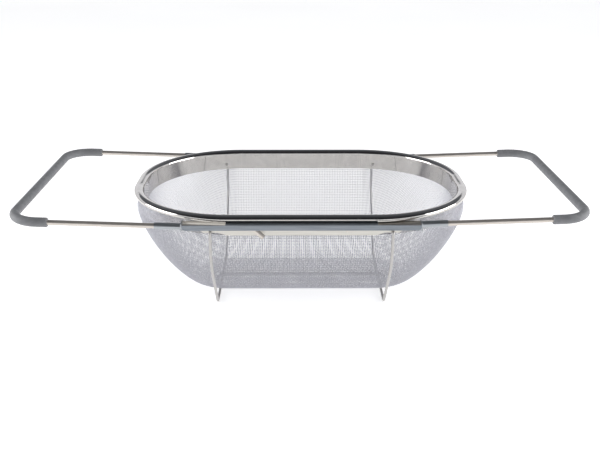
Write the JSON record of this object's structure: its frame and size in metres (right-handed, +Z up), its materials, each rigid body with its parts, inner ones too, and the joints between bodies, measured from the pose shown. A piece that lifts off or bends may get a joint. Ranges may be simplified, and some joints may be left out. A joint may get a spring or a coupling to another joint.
{
  "type": "over-the-sink basket strainer",
  "caption": "Oval wire-mesh strainer basket with a rolled rim, wire legs and U-shaped sliding handles with rubber grips that rest on a sink's edge.",
  "frame": {"origin": "middle of the basket in plan, on the plane that the wire feet stand on", "axes": "+X along the basket towards the right handle, -Y the front, +Z up out of the basket's mouth"},
  "size_m": [0.5626, 0.2474, 0.1183],
  "materials": {
    "polished_stainless": "mirror-polished stainless sheet",
    "drawn_wire": "bright drawn stainless wire and rod",
    "woven_cloth": "fine plain-woven stainless wire cloth",
    "grip_rubber": "matt grey rubber tube"
  },
  "bodies": {
    "strainer": {"mesh_basket": "woven_cloth", "rim_band": "polished_stainless", "rim_core_wire": "drawn_wire", "front_rail_channel": "polished_stainless", "front_mount_plate": "polished_stainless", "front_left_sleeve": "polished_stainless", "front_right_sleeve": "polished_stainless", "back_rail_channel": "polished_stainless", "back_mount_plate": "polished_stainless", "back_left_sleeve": "polished_stainless", "back_right_sleeve": "polished_stainless", "left_leg_wire": "drawn_wire", "right_leg_wire": "drawn_wire", "leg_tie_wire": "drawn_wire"},
    "left_handle": {"left_handle_rod": "drawn_wire", "left_grip": "grip_rubber"},
    "right_handle": {"right_handle_rod": "drawn_wire", "right_grip": "grip_rubber"}
  },
  "joints": [
    {"name": "left_handle_slide", "type": "slide", "parent": "strainer", "child": "left_handle", "axis": [0.9994, 0, -0.0349], "range_m": [0, 0.096]},
    {"name": "right_handle_slide", "type": "slide", "parent": "strainer", "child": "right_handle", "axis": [-0.9994, 0, -0.0349], "range_m": [0, 0.096]}
  ]
}
